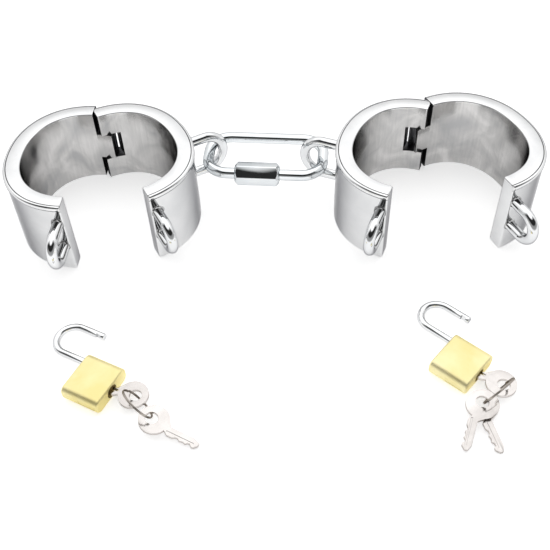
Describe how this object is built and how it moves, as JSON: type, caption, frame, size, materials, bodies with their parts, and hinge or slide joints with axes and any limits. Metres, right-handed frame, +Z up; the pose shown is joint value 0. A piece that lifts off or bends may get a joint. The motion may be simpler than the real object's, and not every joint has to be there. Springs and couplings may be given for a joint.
{
  "type": "handcuffs",
  "caption": "Rigid hinged steel wrist cuffs joined by a threaded quick link and locked with small keyed brass padlocks.",
  "frame": {"origin": "centre of the whole set's footprint, on the surface that it stands on", "axes": "+X from the left cuff to the right cuff, +Y from the padlocks towards the cuff hinges, +Z up"},
  "size_m": [0.2298, 0.1652, 0.036],
  "materials": {
    "polished_stainless": "mirror-polished stainless steel outside and on the rim, fine satin on the inner wall",
    "polished_steel_fittings": "mirror-polished round wire and pin",
    "plated_link": "bright plated round bar and turned hexagonal nut",
    "satin_brass": "satin brass with softly rounded edges",
    "chromed_shackle": "bright chromed wire",
    "nickel_key": "nickel plate, slightly warm, stamped flat",
    "spring_steel": "plain drawn and machined steel"
  },
  "bodies": {
    "left_inner_half": {"left_inner_shell": "polished_stainless", "left_hinge_pin": "polished_steel_fittings", "left_inner_lock_loop": "polished_steel_fittings", "left_link_eye": "polished_steel_fittings"},
    "left_outer_half": {"left_outer_shell": "polished_stainless", "left_outer_lock_loop": "polished_steel_fittings"},
    "quick_link": {"quick_link": "plated_link"},
    "quick_link_nut": {"quick_link_nut": "plated_link"},
    "right_inner_half": {"right_inner_shell": "polished_stainless", "right_hinge_pin": "polished_steel_fittings", "right_inner_lock_loop": "polished_steel_fittings", "right_link_eye": "polished_steel_fittings"},
    "right_outer_half": {"right_outer_shell": "polished_stainless", "right_outer_lock_loop": "polished_steel_fittings"},
    "left_padlock": {"left_padlock_case": "satin_brass", "left_driver_pin_1": "satin_brass", "left_driver_pin_2": "satin_brass", "left_driver_pin_3": "satin_brass", "left_driver_spring_1": "spring_steel", "left_driver_spring_2": "spring_steel", "left_driver_spring_3": "spring_steel", "left_chamber_strip": "satin_brass", "left_plug_retaining_pin": "spring_steel", "left_heel_retaining_pin": "spring_steel", "left_shackle_spring": "spring_steel", "left_latch_spring": "spring_steel"},
    "left_shackle_plunger": {"left_shackle_thrust_washer": "spring_steel"},
    "left_shackle": {"left_shackle": "chromed_shackle"},
    "left_plug": {"left_plug": "satin_brass", "left_key_pin_1": "satin_brass", "left_key_pin_2": "satin_brass", "left_key_pin_3": "satin_brass"},
    "left_latch": {"left_latch_bolt": "spring_steel"},
    "left_key": {"left_key": "nickel_key"},
    "left_key_ring": {"left_key_ring": "nickel_key"},
    "left_spare_key_1": {"left_spare_key_1": "nickel_key"},
    "right_padlock": {"right_padlock_case": "satin_brass", "right_driver_pin_1": "satin_brass", "right_driver_pin_2": "satin_brass", "right_driver_pin_3": "satin_brass", "right_driver_spring_1": "spring_steel", "right_driver_spring_2": "spring_steel", "right_driver_spring_3": "spring_steel", "right_chamber_strip": "satin_brass", "right_plug_retaining_pin": "spring_steel", "right_heel_retaining_pin": "spring_steel", "right_shackle_spring": "spring_steel", "right_latch_spring": "spring_steel"},
    "right_shackle_plunger": {"right_shackle_thrust_washer": "spring_steel"},
    "right_shackle": {"right_shackle": "chromed_shackle"},
    "right_plug": {"right_plug": "satin_brass", "right_key_pin_1": "satin_brass", "right_key_pin_2": "satin_brass", "right_key_pin_3": "satin_brass"},
    "right_latch": {"right_latch_bolt": "spring_steel"},
    "right_key": {"right_key": "nickel_key"},
    "right_key_ring": {"right_key_ring": "nickel_key"},
    "right_spare_key_1": {"right_spare_key_1": "nickel_key"},
    "right_spare_key_2": {"right_spare_key_2": "nickel_key"}
  },
  "joints": [
    {"name": "left_cuff_hinge", "type": "hinge", "parent": "left_inner_half", "child": "left_outer_half", "pos_m": [-0.0763, 0.07728, 0], "axis": [0, 0, -1], "range_deg": [-32.1, 42.6]},
    {"name": "left_link_pivot", "type": "hinge", "parent": "left_inner_half", "child": "quick_link", "pos_m": [-0.02938, 0.06557, 0.018], "axis": [0.1132, 0.9936, 0], "range_deg": [-60, 60]},
    {"name": "gate_nut_travel", "type": "slide", "parent": "quick_link", "child": "quick_link_nut", "axis": [0.9936, -0.1132, 0], "range_m": [0, 0.0082]},
    {"name": "right_link_pivot", "type": "hinge", "parent": "quick_link", "child": "right_inner_half", "pos_m": [0.02218, 0.05969, 0.018], "axis": [0.1132, 0.9936, 0], "range_deg": [-60, 60]},
    {"name": "right_cuff_hinge", "type": "hinge", "parent": "right_inner_half", "child": "right_outer_half", "pos_m": [0.0669, 0.07338, 0], "axis": [0, 0, 1], "range_deg": [-46.7, 28]},
    {"name": "left_padlock_lift", "type": "slide", "parent": "left_inner_half", "child": "left_padlock", "axis": [0, 0, 1], "range_m": [0, 0.06]},
    {"name": "left_shackle_travel", "type": "slide", "parent": "left_padlock", "child": "left_shackle_plunger", "axis": [0.8813, -0.4726, 0], "range_m": [0, 0.0054], "stiffness_N_per_m": 120, "springref_m": -0.002},
    {"name": "left_shackle_swing", "type": "hinge", "parent": "left_shackle_plunger", "child": "left_shackle", "pos_m": [-0.06099, -0.04621, 0.0034], "axis": [0.8813, -0.4726, 0], "range_deg": [-180, 180]},
    {"name": "left_plug_turn", "type": "hinge", "parent": "left_padlock", "child": "left_plug", "pos_m": [-0.06413, -0.05207, 0.0034], "axis": [-0.8813, 0.4726, 0], "range_deg": [0, 90]},
    {"name": "left_latch_travel", "type": "slide", "parent": "left_padlock", "child": "left_latch", "axis": [0.4726, 0.8813, 0], "range_m": [0, 0.0011]},
    {"name": "left_key_travel", "type": "slide", "parent": "left_plug", "child": "left_key", "axis": [0.8813, -0.4726, 0], "range_m": [0, 0.0125]},
    {"name": "left_ring_swing", "type": "hinge", "parent": "left_key", "child": "left_key_ring", "pos_m": [-0.0548, -0.05507, 0.0034], "axis": [0, 0, 1], "range_deg": [-25, 25]},
    {"name": "left_spare_key_swing_1", "type": "hinge", "parent": "left_key_ring", "child": "left_spare_key_1", "pos_m": [-0.04833, -0.06499, 0.00391], "axis": [0.1419, -0.0683, 0.9875], "range_deg": [-20, 20]},
    {"name": "right_padlock_lift", "type": "slide", "parent": "left_inner_half", "child": "right_padlock", "axis": [0, 0, 1], "range_m": [0, 0.06]},
    {"name": "right_shackle_travel", "type": "slide", "parent": "right_padlock", "child": "right_shackle_plunger", "axis": [0.7314, -0.682, 0], "range_m": [0, 0.0054], "stiffness_N_per_m": 120, "springref_m": -0.002},
    {"name": "right_shackle_swing", "type": "hinge", "parent": "right_shackle_plunger", "child": "right_shackle", "pos_m": [0.07817, -0.04643, 0.0034], "axis": [0.7314, -0.682, 0], "range_deg": [-180, 180]},
    {"name": "right_plug_turn", "type": "hinge", "parent": "right_padlock", "child": "right_plug", "pos_m": [0.07363, -0.0513, 0.0034], "axis": [-0.7314, 0.682, 0], "range_deg": [0, 90]},
    {"name": "right_latch_travel", "type": "slide", "parent": "right_padlock", "child": "right_latch", "axis": [0.682, 0.7314, 0], "range_m": [0, 0.0011]},
    {"name": "right_key_travel", "type": "slide", "parent": "right_plug", "child": "right_key", "axis": [0.7314, -0.682, 0], "range_m": [0, 0.0125]},
    {"name": "right_ring_swing", "type": "hinge", "parent": "right_key", "child": "right_key_ring", "pos_m": [0.08133, -0.05641, 0.0034], "axis": [0, 0, 1], "range_deg": [-2.5, 10]},
    {"name": "right_spare_key_swing_1", "type": "hinge", "parent": "right_key_ring", "child": "right_spare_key_1", "pos_m": [0.07254, -0.06277, 0.00314], "axis": [-0.0083, -0.1259, 0.992], "range_deg": [-20, 3]},
    {"name": "right_spare_key_swing_2", "type": "hinge", "parent": "right_key_ring", "child": "right_spare_key_2", "pos_m": [0.07202, -0.06406, 0.00465], "axis": [-0.0083, -0.1259, 0.992], "range_deg": [-20, 20]}
  ],
  "couplings": [
    {"joint": "left_latch_travel", "follows": "left_plug_turn", "m_per_rad": 0.0007},
    {"joint": "right_latch_travel", "follows": "right_plug_turn", "m_per_rad": 0.0007}
  ]
}
